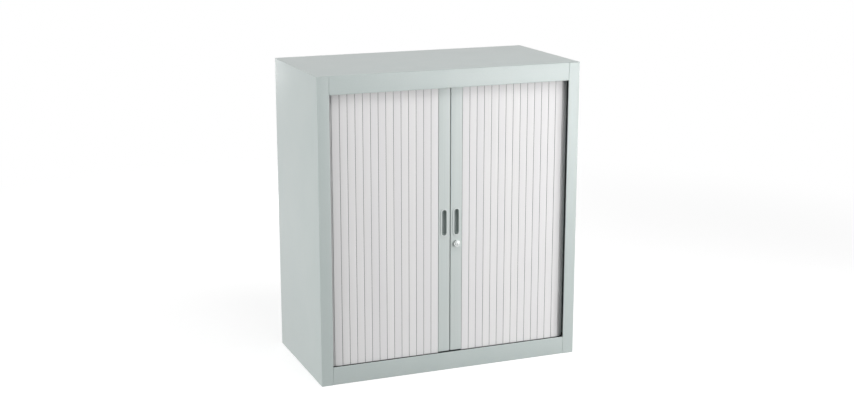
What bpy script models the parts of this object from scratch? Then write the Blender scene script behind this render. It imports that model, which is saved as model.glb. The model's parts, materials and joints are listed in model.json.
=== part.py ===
"""A steel office cupboard with two side-opening tambour doors, built from its separate pieces.

Metres, +Z up. The origin is the middle of the footprint on the floor, the doors face -Y, and +X is to
the right of someone who faces them. Each door is a curtain of slats that hook into one another. Its
lead bar carries a finger pull, and it runs in grooved tracks along the front, round a corner and back
between the side panel and an inner liner.
"""

import math

import bmesh
import bpy
from mathutils import Matrix, Vector

# Overall size.
cabinet_width = 0.914
cabinet_depth = 0.470
cabinet_height = 1.016

# Folded sheet steel, and the clearances between pieces.
sheet = 0.0012
bend_radius = 0.0020
hem_gap = 0.0003
fit_gap = 0.0003
seam_gap = 0.0005
run_gap = 0.0008
cut_overrun = 0.0040
overlap = 0.0003
weld_distance = 0.000001

# Faces of the carcass that frame the doors.
stile_width = 0.040
stile_hem = 0.012
back_return = 0.018
top_rail = 0.060
bottom_rail = 0.061
back_flange = 0.020
foot_return = 0.025
floor_height = 0.046
back_panel_edge = 0.012
track_web_drop = 0.044
track_web_depth = 0.046
track_web_lip = 0.010

# The line that the curtain's joints follow.
face_recess = 0.018
corner_radius = 0.039
side_run_inset = 0.024

# Tracks.
track_wall = 0.0016
groove_half_width = 0.0050
track_height = 0.0120
track_floor = 0.0020
track_end_setback = 0.015
slat_end_play = 0.0025
stop_length = 0.0115
stop_height = 0.0140
stop_edge_radius = 0.0010

# Slats: each has a bead on one edge and a socket for its neighbour's bead on the other.
slats_each_side = 16
tail_lead = 0.0020
slat_face = 0.0042
slat_plate = 0.0014
slat_crown = 0.0005
slat_edge_round = 0.0004
slat_groove = 0.0012
bead_radius = 0.0015
socket_clearance = 0.0004
socket_wall = 0.0012
neck_half_width = 0.0006
neck_lean = 135
socket_mouth_front = 75
socket_mouth_back = -160
rib_place_share = 0.16
rib_thickness = 0.0010
rib_depth = 0.0042

# Lead bars, their glides and the travel of the doors.
meeting_gap = 0.0034
bar_width = 0.0404
bar_proud = 0.0006
bar_plate = 0.0018
bar_wall = 0.0016
bar_depth = 0.0168
bar_web_inset = 0.0043
bar_lip = 0.0080
bar_edge_round = 0.0010
glide_tongue_length = 0.026
glide_tongue_half_width = 0.0042
glide_shoulder = 0.0013
glide_plug_height = 0.014
glide_plug_gap = 0.0004
glide_corner = 0.0020

# Finger pulls: a cup with rounded ends in each lead bar.
pull_height = 0.5060
pull_length = 0.096
pull_width = 0.0260
pull_rim = 0.0014
pull_rim_width = 0.0050
pull_rim_round = 0.0006
pull_wall = 0.0011
pull_depth = 0.0130
pull_floor_round = 0.0024

# Lock: a key-turned hook in the right bar and its strike in the left one.
lock_drop = 0.0260
lock_bezel_radius = 0.0115
lock_bezel_depth = 0.0080
lock_bezel_round = 0.0012
lock_body_radius = 0.0080
lock_body_length = 0.0066
lock_bore_radius = 0.0066
lock_plug_proud = 0.0004
lock_plug_round = 0.0004
lock_tail_half_width = 0.0034
lock_tail_length = 0.0046
lock_tail_flange_radius = 0.0050
lock_tail_flange = 0.0012
key_slot_length = 0.0080
key_slot_width = 0.0014
key_slot_depth = 0.0060
nut_thickness = 0.0030
nut_across_flats = 0.0190
hook_setback = 0.0022
hook_thickness = 0.0020
hook_hub_radius = 0.0068
hook_arm_half_width = 0.0040
hook_reach = 0.0350
hook_barb_width = 0.0040
hook_barb_angle = 22
hook_slot_clearance = 0.0012
hook_slot_margin = 0.0015
strike_thickness = 0.0015
strike_length_past_slot = 0.012
strike_depth = 0.0110

# Inner liners and shelves.
liner_clearance = 0.0020
liner_front_setback = 0.0010
liner_return = 0.0120
slot_pitch = 0.064
slot_first_height = 0.146
slots_in_column = 12
slot_width = 0.0032
slot_height = 0.0160
shelf_front_setback = 0.0130
shelf_back_gap = 0.0050
shelf_side_gap = 0.0010
shelf_fold = 0.0250
shelf_lip = 0.0120
lower_shelf_slot = 3
upper_shelf_slot = 8
lug_thickness = 0.0018
lug_drop_below_top = 0.0120
lug_height = 0.0070
lug_hook_depth = 0.0060
lug_hook_width = 0.0014
lug_root = 0.0100

# Fineness of bends, turned shapes and corners.
bend_steps = 3
arc_steps = 8
crown_steps = 6
turn_steps = 32
pull_end_steps = 10

# Places worked out from the sizes above.
half_width = cabinet_width / 2
front_y = -cabinet_depth / 2
back_y = cabinet_depth / 2
panel_top = cabinet_height - sheet - fit_gap
side_inner = half_width - sheet - fit_gap
hem_step = sheet + hem_gap
joint_y = front_y + face_recess + slat_face
straight_end = half_width - side_run_inset - corner_radius
side_run_x = half_width - side_run_inset
corner_y = joint_y + corner_radius
track_end_y = back_y - track_end_setback
track_half_width = groove_half_width + track_wall
track_bottom = floor_height + fit_gap
groove_floor = track_bottom + track_floor
track_top = cabinet_height - track_web_drop - fit_gap
groove_roof = track_top - track_floor
slat_low = groove_floor + fit_gap
slat_high = groove_roof - slat_end_play
socket_inner = bead_radius + socket_clearance
socket_outer = socket_inner + socket_wall
bar_joint = meeting_gap / 2 + bar_width
bar_face = slat_face + bar_proud
bar_rear = bar_face - bar_depth
bar_low = track_bottom + track_height + run_gap + glide_shoulder + fit_gap
bar_high = track_top - track_height - run_gap - glide_shoulder - fit_gap
bar_middle = (meeting_gap / 2 + bar_joint) / 2
bar_web_outer = bar_joint - bar_web_inset
liner_outer = side_run_x - track_half_width - liner_clearance
liner_front = corner_y + liner_front_setback
liner_back = back_y - 2 * sheet - 2 * fit_gap
shelf_front = liner_front + shelf_front_setback
shelf_back = liner_back - shelf_back_gap
lock_height = pull_height - pull_length / 2 - lock_drop
hook_front = bar_face - bar_plate - nut_thickness - 2 * fit_gap - hook_setback


def from_screen(red, green, blue):
    """Screen values from 0 to 255 as the linear colour that a material takes."""
    shares = [value / 255 for value in (red, green, blue)]
    return tuple(s / 12.92 if s <= 0.04045 else ((s + 0.055) / 1.055) ** 2.4 for s in shares) + (1.0,)


def clear_scene():
    for item in list(bpy.data.objects):
        bpy.data.objects.remove(item)


def new_collection(name):
    made = bpy.data.collections.new(name)
    bpy.context.scene.collection.children.link(made)
    return made


clear_scene()
pieces = new_collection("tambour_cabinet")
cutters = new_collection("cutters")


def material(name, colour, roughness, metallic=0.0):
    made = bpy.data.materials.new(name)
    made.use_nodes = True
    shader = made.node_tree.nodes["Principled BSDF"]
    shader.inputs["Base Color"].default_value = colour
    shader.inputs["Roughness"].default_value = roughness
    shader.inputs["Metallic"].default_value = metallic
    return made


def powder_coat():
    return material("powder_coated_steel", from_screen(208, 215, 213), 0.5)


def slat_plastic():
    return material("slat_plastic", from_screen(232, 231, 230), 0.42)


def track_plastic():
    return material("track_plastic", from_screen(52, 56, 57), 0.6)


def pull_plastic():
    return material("finger_pull_plastic", from_screen(150, 158, 157), 0.45)


def bright_plate():
    return material("nickel_plate", from_screen(205, 206, 206), 0.22, 1.0)


def zinc_plate():
    return material("zinc_plated_steel", from_screen(176, 180, 184), 0.38, 1.0)


def turned_about(axis, degrees_):
    return Matrix.Rotation(math.radians(degrees_), 4, axis)


def arc(centre, radius, start, end, steps):
    """Points on an arc, angles in degrees from the first axis."""
    angles = [math.radians(start + (end - start) * i / steps) for i in range(steps + 1)]
    return [(centre[0] + radius * math.cos(a), centre[1] + radius * math.sin(a)) for a in angles]


def rounded(corners):
    """The line through corners given as (a, b, radius), each inner one turned in an arc."""
    points = [Vector(corners[0][:2])]
    for before, here, after in zip(corners, corners[1:], corners[2:]):
        corner = Vector(here[:2])
        to_before = (Vector(before[:2]) - corner).normalized()
        to_after = (Vector(after[:2]) - corner).normalized()
        turn = math.pi - to_before.angle(to_after)
        centre = corner + (to_before + to_after).normalized() * here[2] / math.cos(turn / 2)
        start = corner + to_before * here[2] * math.tan(turn / 2) - centre
        end = corner + to_after * here[2] * math.tan(turn / 2) - centre
        for i in range(bend_steps + 1):
            ahead = turn * i / bend_steps
            spoke = (start * math.sin(turn - ahead) + end * math.sin(ahead)) / math.sin(turn)
            if (centre + spoke - points[-1]).length > weld_distance:
                points.append(centre + spoke)
    points.append(Vector(corners[-1][:2]))
    return points


def link(name, mesh, finish, place=None):
    """A new piece that shows this mesh, with its material."""
    piece = bpy.data.objects.new(name, mesh)
    if not mesh.materials:
        mesh.materials.append(finish)
    if place is not None:
        piece.matrix_world = place
    pieces.objects.link(piece)
    return piece


def as_cutter(piece):
    """Moves an object to the cutters, where it shows only as wires."""
    for holder in list(piece.users_collection):
        holder.objects.unlink(piece)
    cutters.objects.link(piece)
    piece.hide_render = True
    piece.display_type = "WIRE"
    return piece


def cutter(name, mesh, place=None):
    made = bpy.data.objects.new(name, mesh)
    if place is not None:
        made.matrix_world = place
    return as_cutter(made)


def combine(piece, other, operation):
    step = piece.modifiers.new(other.name, "BOOLEAN")
    step.operation = operation
    step.object = other


def welded(mesh):
    shape = bmesh.new()
    shape.from_mesh(mesh)
    bmesh.ops.remove_doubles(shape, verts=shape.verts, dist=weld_distance)
    bmesh.ops.recalc_face_normals(shape, faces=shape.faces)
    shape.to_mesh(mesh)
    shape.free()
    return mesh


def prism(name, outlines, low, high):
    """A flat outline, with any holes after it, extruded from low to high along Z."""
    curve = bpy.data.curves.new(name, "CURVE")
    curve.dimensions = "2D"
    curve.fill_mode = "BOTH"
    curve.extrude = (high - low) / 2
    for outline in outlines:
        spline = curve.splines.new("POLY")
        spline.points.add(len(outline) - 1)
        for knot, (x, y) in zip(spline.points, outline):
            knot.co = (x, y, 0, 1)
        spline.use_cyclic_u = True
    guide = bpy.data.objects.new(name, curve)
    bpy.context.scene.collection.objects.link(guide)
    graph = bpy.context.evaluated_depsgraph_get()
    mesh = bpy.data.meshes.new_from_object(guide.evaluated_get(graph))
    bpy.data.objects.remove(guide)
    bpy.data.curves.remove(curve)
    mesh.name = name
    mesh.transform(Matrix.Translation((0, 0, (high + low) / 2)))
    return welded(mesh)


def block(name, low, high):
    """A box between two corners."""
    mesh = bpy.data.meshes.new(name)
    shape = bmesh.new()
    low, high = Vector(low), Vector(high)
    size = Matrix.Diagonal((*(high - low), 1))
    bmesh.ops.create_cube(shape, size=1, matrix=Matrix.Translation((low + high) / 2) @ size)
    shape.to_mesh(mesh)
    shape.free()
    return mesh


def folded_sheet(name, corners, low, high, finish, upright):
    """Sheet metal folded along a rounded line and run from low to high.

    The corners lie in the middle of the sheet's thickness: (x, y) for an upright piece, which runs
    along Z, and (y, z) for one that runs along X.
    """
    mesh = bpy.data.meshes.new(name)
    shape = bmesh.new()
    line = rounded(corners)
    starts = [shape.verts.new((*p, low) if upright else (low, *p)) for p in line]
    edges = [shape.edges.new(pair) for pair in zip(starts, starts[1:])]
    run = bmesh.ops.extrude_edge_only(shape, edges=edges)
    ends = [item for item in run["geom"] if isinstance(item, bmesh.types.BMVert)]
    length = high - low
    bmesh.ops.translate(shape, verts=ends, vec=(0, 0, length) if upright else (length, 0, 0))
    shape.to_mesh(mesh)
    shape.free()
    piece = link(name, mesh, finish)
    wall = piece.modifiers.new("sheet", "SOLIDIFY")
    wall.thickness = sheet
    wall.offset = 0
    wall.use_even_offset = True
    return piece


def mirrored(corners, side):
    return [(side * corner[0], *corner[1:]) for corner in corners]


def turned(name, profile, finish, place):
    """A profile of (radius, height) points turned about its Z axis, then placed."""
    mesh = bpy.data.meshes.new(name)
    closed = profile[0][0] > 0
    count = len(profile)
    edges = [(i, (i + 1) % count) for i in range(count if closed else count - 1)]
    mesh.from_pydata([(r, 0, h) for r, h in profile], edges, [])
    piece = link(name, mesh, finish, place)
    spin = piece.modifiers.new("turn", "SCREW")
    spin.steps = turn_steps
    spin.render_steps = turn_steps
    spin.use_merge_vertices = True
    spin.merge_threshold = weld_distance
    spin.use_smooth_shade = True
    return piece


def side_panel(name, side, paint):
    """Outer skin with a hemmed stile folded across the front and a narrow return at the back."""
    edge = half_width - sheet / 2
    stile_end = half_width - stile_width + sheet / 2
    corners = [
        (half_width - back_return, back_y - sheet / 2, 0),
        (edge, back_y - sheet / 2, bend_radius),
        (edge, front_y + sheet / 2, bend_radius),
        (stile_end, front_y + sheet / 2, hem_step / 2),
        (stile_end, front_y + sheet / 2 + hem_step, hem_step / 2),
        (half_width - stile_width + stile_hem, front_y + sheet / 2 + hem_step, 0),
    ]
    return folded_sheet(name, mirrored(corners, side), 0, panel_top, paint, True)


def footprint_surround(name, low, high):
    """Everything outside the space between the side panels, as a ring that trims what fits there."""
    stile_y = front_y + sheet + hem_step + fit_gap
    return_y = back_y - sheet - fit_gap
    stile_in = half_width - stile_width - seam_gap
    return_in = half_width - back_return - fit_gap
    right = [
        (stile_in, front_y - cut_overrun),
        (stile_in, stile_y),
        (side_inner, stile_y),
        (side_inner, return_y - bend_radius),
        (side_inner - bend_radius, return_y),
        (return_in, return_y),
        (return_in, back_y + cut_overrun),
    ]
    inner = right + [(-x, y) for x, y in reversed(right)]
    x, y = half_width + cut_overrun, back_y + 2 * cut_overrun
    outer = [(-x, -y), (x, -y), (x, y), (-x, y)]
    return cutter(name, prism(name, [outer, inner], low, high))


def top_panel(paint):
    """Top sheet with a front fascia between the stiles, hemmed and returned as the upper track's web."""
    hem_y = front_y + sheet / 2 + hem_step
    hem_z = cabinet_height - top_rail + sheet / 2
    web_z = cabinet_height - track_web_drop + sheet / 2
    web_end = front_y + track_web_depth
    corners = [
        (back_y - sheet / 2, cabinet_height - back_flange, 0),
        (back_y - sheet / 2, cabinet_height - sheet / 2, bend_radius),
        (front_y + sheet / 2, cabinet_height - sheet / 2, bend_radius),
        (front_y + sheet / 2, hem_z, hem_step / 2),
        (hem_y, hem_z, hem_step / 2),
        (hem_y, web_z, bend_radius),
        (web_end, web_z, bend_radius),
        (web_end, web_z + track_web_lip, 0),
    ]
    piece = folded_sheet("top_panel", corners, -half_width, half_width, paint, False)
    low = cabinet_height - top_rail - cut_overrun
    trim = footprint_surround("top_panel_trim", low, panel_top + fit_gap / 2)
    combine(piece, trim, "DIFFERENCE")
    return piece


def base_panel(paint):
    """Floor with a hemmed plinth fascia between the stiles and a foot return front and back."""
    hem_y = front_y + sheet / 2 + hem_step
    hem_z = bottom_rail - sheet / 2
    floor_z = floor_height - sheet / 2
    corners = [
        (back_y - foot_return, sheet / 2, 0),
        (back_y - sheet / 2, sheet / 2, bend_radius),
        (back_y - sheet / 2, floor_z, bend_radius),
        (hem_y, floor_z, bend_radius),
        (hem_y, hem_z, hem_step / 2),
        (front_y + sheet / 2, hem_z, hem_step / 2),
        (front_y + sheet / 2, sheet / 2, bend_radius),
        (front_y + foot_return, sheet / 2, 0),
    ]
    piece = folded_sheet("base_panel", corners, -side_inner, side_inner, paint, False)
    trim = footprint_surround("base_panel_trim", -cut_overrun, bottom_rail + cut_overrun)
    combine(piece, trim, "DIFFERENCE")
    return piece


def back_panel(paint):
    """Flat back with edges turned forward, from the floor to just under the bend of the top sheet."""
    middle = back_y - sheet - fit_gap - sheet / 2
    edge = side_inner - sheet / 2
    right = [(edge, middle - back_panel_edge, 0), (edge, middle, bend_radius)]
    corners = right + mirrored(reversed(right), -1)
    high = panel_top - bend_radius
    return folded_sheet("back_panel", corners, floor_height + fit_gap, high, paint, True)


def slot_heights():
    return [slot_first_height + i * slot_pitch for i in range(slots_in_column)]


def shelf_columns():
    """Where the shelves' front and back walls lie, which is where their lugs and slots are."""
    return (shelf_front + sheet / 2, shelf_back - sheet / 2)


def liner(name, side, paint):
    """Inner wall that hides the side run, with two columns of slots for the shelves."""
    edge = liner_outer - sheet / 2
    corners = [
        (liner_outer - liner_return, liner_front + sheet / 2, 0),
        (edge, liner_front + sheet / 2, bend_radius),
        (edge, liner_back - sheet / 2, bend_radius),
        (liner_outer - liner_return, liner_back - sheet / 2, 0),
    ]
    piece = folded_sheet(name, mirrored(corners, side), floor_height + fit_gap, panel_top, paint, True)
    shape = bmesh.new()
    for y in shelf_columns():
        for z in slot_heights():
            size = Matrix.Diagonal((2 * cut_overrun, slot_width, slot_height, 1))
            place = Matrix.Translation((side * edge, y, z + slot_height / 2))
            bmesh.ops.create_cube(shape, size=1, matrix=place @ size)
    mesh = bpy.data.meshes.new(name + "_slots")
    shape.to_mesh(mesh)
    shape.free()
    combine(piece, cutter(name + "_slots", mesh), "DIFFERENCE")
    return piece


def track_line(offset, end_y):
    """The joint line from the left end to the right one, moved outwards by offset."""
    radius = corner_radius + offset
    right = [(side_run_x + offset, end_y)]
    right += arc((straight_end, corner_y), radius, 0, -90, arc_steps)
    return [(-x, y) for x, y in right] + list(reversed(right))


def track_band(name, half_band, end_y, low, high):
    outline = track_line(half_band, end_y) + list(reversed(track_line(-half_band, end_y)))
    return prism(name, [outline], low, high)


def track(name, low, groove_low, groove_high, plastic):
    """A grooved rail that follows the front, both corners and both side runs."""
    piece = link(name, track_band(name, track_half_width, track_end_y, low, low + track_height), plastic)
    groove_end = track_end_y + cut_overrun
    groove = track_band(name + "_groove", groove_half_width, groove_end, groove_low, groove_high)
    combine(piece, cutter(name + "_groove", groove), "DIFFERENCE")
    return piece


def track_stop(name, side, plastic):
    """A block that closes the end of the lower groove, where the last slat halts."""
    reach = groove_half_width - fit_gap
    x = side * side_run_x
    low = (x - reach, track_end_y - stop_length, slat_low)
    high = (x + reach, track_end_y, slat_low + stop_height)
    piece = link(name, block(name, low, high), plastic)
    ease = piece.modifiers.new("eased_edges", "BEVEL")
    ease.width = stop_edge_radius
    ease.segments = 1
    return piece


def on_joint_line(distance):
    """A place on the right-hand joint line, by its distance along the line from the middle."""
    if distance <= straight_end:
        return Vector((distance, joint_y))
    corner_length = corner_radius * math.pi / 2
    if distance <= straight_end + corner_length:
        angle = (distance - straight_end) / corner_radius
        centre = Vector((straight_end, corner_y))
        return centre + corner_radius * Vector((math.sin(angle), -math.cos(angle)))
    return Vector((side_run_x, corner_y + distance - straight_end - corner_length))


def next_joint(distance, pitch):
    """How far along the line the next joint lies, one slat's pitch away in a straight line."""
    here = on_joint_line(distance)
    near, far = distance, distance + 2 * pitch
    while far - near > weld_distance / 100:
        middle = (near + far) / 2
        if (on_joint_line(middle) - here).length < pitch:
            near = middle
        else:
            far = middle
    return (near + far) / 2


def joint_chain(pitch, count):
    chain = [bar_joint]
    for _ in range(count):
        chain.append(next_joint(chain[-1], pitch))
    return chain


def slat_pitch():
    """The pitch at which the slats reach from the lead bar to just past the corner."""
    goal = straight_end + corner_radius * math.pi / 2 + tail_lead
    low, high = 0, 2 * (goal - bar_joint) / slats_each_side
    while high - low > weld_distance / 100:
        middle = (low + high) / 2
        if joint_chain(middle, slats_each_side)[-1] < goal:
            low = middle
        else:
            high = middle
    return (low + high) / 2


def bead_outline(centre, plate_back):
    """A neck that leans out of the back of a plate, and the bead at its end."""
    lean = neck_half_width * math.sqrt(2)
    spread = math.degrees(math.asin(neck_half_width / bead_radius))
    bead = arc((centre, 0), bead_radius, neck_lean - spread, neck_lean + spread - 360, arc_steps)
    return [(centre + lean - plate_back, plate_back), *bead, (centre - lean - plate_back, plate_back)]


def slat_outline(pitch):
    """A slat's section, u along the curtain and v towards the front, from joint to joint."""
    half = pitch / 2
    plate_back = slat_face - slat_plate
    edge_u = half - slat_groove / 2
    edge_v = slat_face - slat_crown - slat_edge_round
    face_u = edge_u - slat_edge_round
    across = [face_u * (2 * i / crown_steps - 1) for i in range(crown_steps + 1)]
    face = [(u, slat_face - slat_crown * (u / half) ** 2) for u in across]
    outline = [*face, (edge_u, edge_v), (edge_u, plate_back), *bead_outline(half, plate_back)]
    for rib_u in (rib_place_share * pitch, -rib_place_share * pitch):
        low_u, high_u = rib_u - rib_thickness / 2, rib_u + rib_thickness / 2
        rib_v = plate_back - rib_depth
        outline += [(high_u, plate_back), (high_u, rib_v), (low_u, rib_v), (low_u, plate_back)]
    root = math.degrees(math.asin(plate_back / socket_outer))
    outline += arc((-half, 0), socket_outer, root, socket_mouth_back, arc_steps + 2)
    outline += arc((-half, 0), socket_inner, socket_mouth_back, socket_mouth_front, arc_steps + 2)
    outline.append((-edge_u, edge_v))
    return outline


def slats(side, word, plastic, axis):
    """The slats of one door, the last of them the tail slat that runs in the side channel."""
    pitch = slat_pitch()
    chain = joint_chain(pitch, slats_each_side + 1)
    outline = [(u, -v) for u, v in slat_outline(pitch)]
    height = slat_high - slat_low
    mesh = prism(word + "_slat", [outline], -height / 2, height / 2)
    flip = turned_about("Y", 0 if side > 0 else 180)
    made = []
    for number, ends in enumerate(zip(chain, chain[1:]), 1):
        start, end = (on_joint_line(distance) for distance in ends)
        middle = (start + end) / 2
        heading = math.degrees(math.atan2(end.y - start.y, end.x - start.x))
        place = Matrix.Translation((side * middle.x, middle.y, (slat_low + slat_high) / 2))
        name = f"{word}_slat_{number:02d}" if number <= slats_each_side else f"{word}_tail_slat"
        piece = link(name, mesh, plastic, place @ turned_about("Z", side * heading) @ flip)
        made.append(piece)
    tail_axis = axis_empty(word + "_tail_axis", (side * side_run_x, corner_y, groove_floor))
    carry([made[-1]], tail_axis)
    carry(made[:-1], axis)


def axis_empty(name, place):
    """An empty on a joint's axis, which carries the pieces that move on it."""
    made = bpy.data.objects.new(name, None)
    made.location = place
    pieces.objects.link(made)
    return made


def carry(riders, axis):
    for rider in riders:
        rider.parent = axis
        rider.matrix_parent_inverse = Matrix.Translation(axis.location).inverted()


def bar_outline():
    """A lead bar's section: a plate that ends in a bead, with two walls and lips behind it."""
    inner = meeting_gap / 2
    plate_back = bar_face - bar_plate
    edge_u = bar_joint - slat_groove / 2
    web_inner = bar_web_outer - bar_wall
    lip_v = bar_rear + bar_wall
    round_v = bar_face - bar_edge_round
    outline = arc((inner + bar_edge_round, round_v), bar_edge_round, 180, 90, bend_steps)
    outline += arc((edge_u - bar_edge_round, round_v), bar_edge_round, 90, 0, bend_steps)
    outline += [(edge_u, plate_back), *bead_outline(bar_joint, plate_back)]
    outline += [
        (bar_web_outer, plate_back),
        (bar_web_outer, bar_rear),
        (bar_web_outer - bar_lip, bar_rear),
        (bar_web_outer - bar_lip, lip_v),
        (web_inner, lip_v),
        (web_inner, plate_back),
        (inner + bar_wall, plate_back),
        (inner + bar_wall, lip_v),
        (inner + bar_lip, lip_v),
        (inner + bar_lip, bar_rear),
        (inner, bar_rear),
    ]
    return outline


def rounded_slot(radius, half_straight, steps):
    """A slot's outline with its long way along the second axis."""
    top = arc((0, half_straight), radius, 0, 180, steps)
    return top + arc((0, -half_straight), radius, 180, 360, steps)


def facing(x, v, z):
    """Turns a prism so that its outline faces the front, its first axis to the right and second up."""
    return Matrix.Translation((x, joint_y - v, z)) @ turned_about("X", 90)


def hook_slot_heights():
    """How far below and above the lock's axis the slot in a bar's meeting wall reaches."""
    nearest = bar_middle - meeting_gap / 2 - bar_wall
    below = math.sqrt(hook_reach**2 - nearest**2) + hook_slot_margin
    return lock_height - below, lock_height + hook_arm_half_width + hook_slot_clearance


def lead_bar(name, side, paint):
    """Bar at the meeting edge of a door, cut for its pull and the lock's hook."""
    outline = [(side * u, joint_y - v) for u, v in bar_outline()]
    piece = link(name, prism(name, [outline], bar_low, bar_high), paint)
    x = side * bar_middle
    hole = rounded_slot(pull_body_radius() + fit_gap, pull_half_straight(), pull_end_steps)
    hole_mesh = prism(name + "_pull_hole", [hole], -cut_overrun, cut_overrun)
    hole_place = facing(x, bar_face, pull_height)
    combine(piece, cutter(name + "_pull_hole", hole_mesh, hole_place), "DIFFERENCE")
    low_z, high_z = hook_slot_heights()
    xs = sorted((0, side * (meeting_gap / 2 + bar_wall + cut_overrun)))
    near = joint_y - hook_front - hook_slot_margin
    far = joint_y - hook_front + hook_thickness + hook_slot_margin
    slot = block(name + "_hook_slot", (xs[0], near, low_z), (xs[1], far, high_z))
    combine(piece, cutter(name + "_hook_slot", slot), "DIFFERENCE")
    return piece


def drill_for_lock(bar):
    rim = ring(lock_body_radius + fit_gap)
    hole = prism("lock_hole", [rim], -cut_overrun, cut_overrun)
    combine(bar, cutter("lock_hole", hole, lock_place()), "DIFFERENCE")


def pull_half_straight():
    return (pull_length - pull_width) / 2


def pull_body_radius():
    return pull_width / 2 - pull_rim_width + pull_wall


def pull_rings():
    """The cup's section as (radius, v) from the middle of its back, over the rim, to its floor."""
    mouth = pull_width / 2 - pull_rim_width
    body = pull_body_radius()
    back = bar_face + fit_gap
    front = back + pull_rim
    floor = front - pull_depth
    outer_floor = floor - pull_wall
    return [
        (body - pull_floor_round - pull_wall, outer_floor),
        (body - pull_wall, outer_floor + pull_wall),
        (body, outer_floor + pull_wall + pull_floor_round),
        (body, back),
        (pull_width / 2, back),
        (pull_width / 2, front - pull_rim_round),
        (pull_width / 2 - pull_rim_round, front),
        (mouth + pull_rim_round, front),
        (mouth, front - pull_rim_round),
        (mouth, floor + pull_floor_round),
        (mouth - pull_floor_round / 3, floor + pull_floor_round / 3),
        (mouth - pull_floor_round, floor),
    ]


def finger_pull(name, side, plastic):
    """A shallow cup with rounded ends, lofted through slot-shaped rings from back to floor."""
    mesh = bpy.data.meshes.new(name)
    shape = bmesh.new()
    loops = []
    for radius, v in pull_rings():
        outline = rounded_slot(radius, pull_half_straight(), pull_end_steps)
        loops.append([shape.verts.new((x, y, v)) for x, y in outline])
    count = len(loops[0])
    for lower, upper in zip(loops, loops[1:]):
        for i in range(count):
            j = (i + 1) % count
            shape.faces.new((lower[i], lower[j], upper[j], upper[i]))
    shape.faces.new(loops[0])
    shape.faces.new(loops[-1])
    bmesh.ops.recalc_face_normals(shape, faces=shape.faces)
    shape.to_mesh(mesh)
    shape.free()
    mesh.shade_smooth()
    mesh.set_sharp_from_angle(angle=math.radians(bend_steps * 12))
    return link(name, mesh, plastic, facing(side * bar_middle, 0, pull_height))


def rounded_rectangle(x0, x1, y0, y1, radius):
    corners = (((x1, y1), 0), ((x0, y1), 90), ((x0, y0), 180), ((x1, y0), 270))
    outline = []
    for (x, y), start in corners:
        centre = (x - math.copysign(radius, x - (x0 + x1) / 2), y - math.copysign(radius, y - (y0 + y1) / 2))
        outline += arc(centre, radius, start, start + 90, bend_steps)
    return outline


def glide_mesh():
    """A glide's parts about the bar's inner middle: tongue below, shoulder, and plug above."""
    plate_back = bar_face - bar_plate
    half_inner = (bar_web_outer - 2 * bar_wall - meeting_gap / 2) / 2
    tongue_low = slat_low - bar_low
    shoulder_low = -fit_gap - glide_shoulder
    reach = half_inner - glide_plug_gap
    tongue = [(y, x) for x, y in rounded_slot(
        glide_tongue_half_width, glide_tongue_length / 2 - glide_tongue_half_width, arc_steps)]
    shoulder = rounded_rectangle(
        -half_inner - bar_wall, half_inner + bar_wall, -plate_back, -bar_rear, glide_corner)
    plug = rounded_rectangle(
        -reach, reach, glide_plug_gap - plate_back, -bar_rear - bar_wall - glide_plug_gap, glide_corner)
    return (
        prism("glide_shoulder", [shoulder], shoulder_low, -fit_gap),
        prism("glide_tongue", [tongue], tongue_low, shoulder_low + overlap),
        prism("glide_plug", [plug], -fit_gap - overlap, glide_plug_height),
    )


def glide(name, side, upper, meshes, plastic):
    """A plastic glide: its plug fills the end of a bar and its tongue runs in the track's groove."""
    middle = side * (meeting_gap / 2 + bar_web_outer) / 2
    place = Matrix.Translation((middle, joint_y, bar_high if upper else bar_low))
    place = place @ turned_about("Y", 180 if upper else 0)
    piece = link(name, meshes[0], plastic, place)
    combine(piece, cutter(name + "_tongue", meshes[1], place), "UNION")
    combine(piece, cutter(name + "_plug", meshes[2], place), "UNION")
    return piece


def lock_place():
    """The lock's frame: its own Z axis points out of the front, from the face of the right bar."""
    return facing(bar_middle, bar_face + fit_gap, lock_height)


def ring(radius):
    return arc((0, 0), radius, 0, 360 - 360 / turn_steps, turn_steps - 1)


def square(half):
    return [(-half, -half), (half, -half), (half, half), (-half, half)]


def lock_housing(finish):
    """Bezel and body of the lock, with the plug's bore through them."""
    profile = arc(
        (lock_bezel_radius - lock_bezel_round, lock_bezel_depth - lock_bezel_round),
        lock_bezel_round, 90, 0, bend_steps)
    profile += [
        (lock_bezel_radius, 0),
        (lock_body_radius, 0),
        (lock_body_radius, -lock_body_length),
        (lock_bore_radius, -lock_body_length),
        (lock_bore_radius, lock_bezel_depth),
    ]
    return turned("lock_housing", profile, finish, lock_place())


def lock_plug(finish):
    """The round plug with its key slot, and a square tail that ends in a riveted flange."""
    radius = lock_bore_radius - fit_gap
    front = lock_bezel_depth + lock_plug_proud
    tail_start = -lock_body_length - fit_gap
    tail_end = tail_start - lock_tail_length
    profile = [
        (0, front),
        (radius - lock_plug_round, front),
        (radius, front - lock_plug_round),
        (radius, tail_start),
        (0, tail_start),
    ]
    piece = turned("lock_plug", profile, finish, lock_place())
    tail = prism("lock_plug_tail", [square(lock_tail_half_width)], tail_end - overlap, tail_start + overlap)
    combine(piece, cutter("lock_plug_tail", tail, lock_place()), "UNION")
    flange = prism("lock_plug_flange", [ring(lock_tail_flange_radius)], tail_end - lock_tail_flange, tail_end)
    combine(piece, cutter("lock_plug_flange", flange, lock_place()), "UNION")
    slot = block(
        "key_slot",
        (-key_slot_width / 2, -key_slot_length / 2, front - key_slot_depth),
        (key_slot_width / 2, key_slot_length / 2, front + cut_overrun))
    combine(piece, cutter("key_slot", slot, lock_place()), "DIFFERENCE")
    return piece


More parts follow.
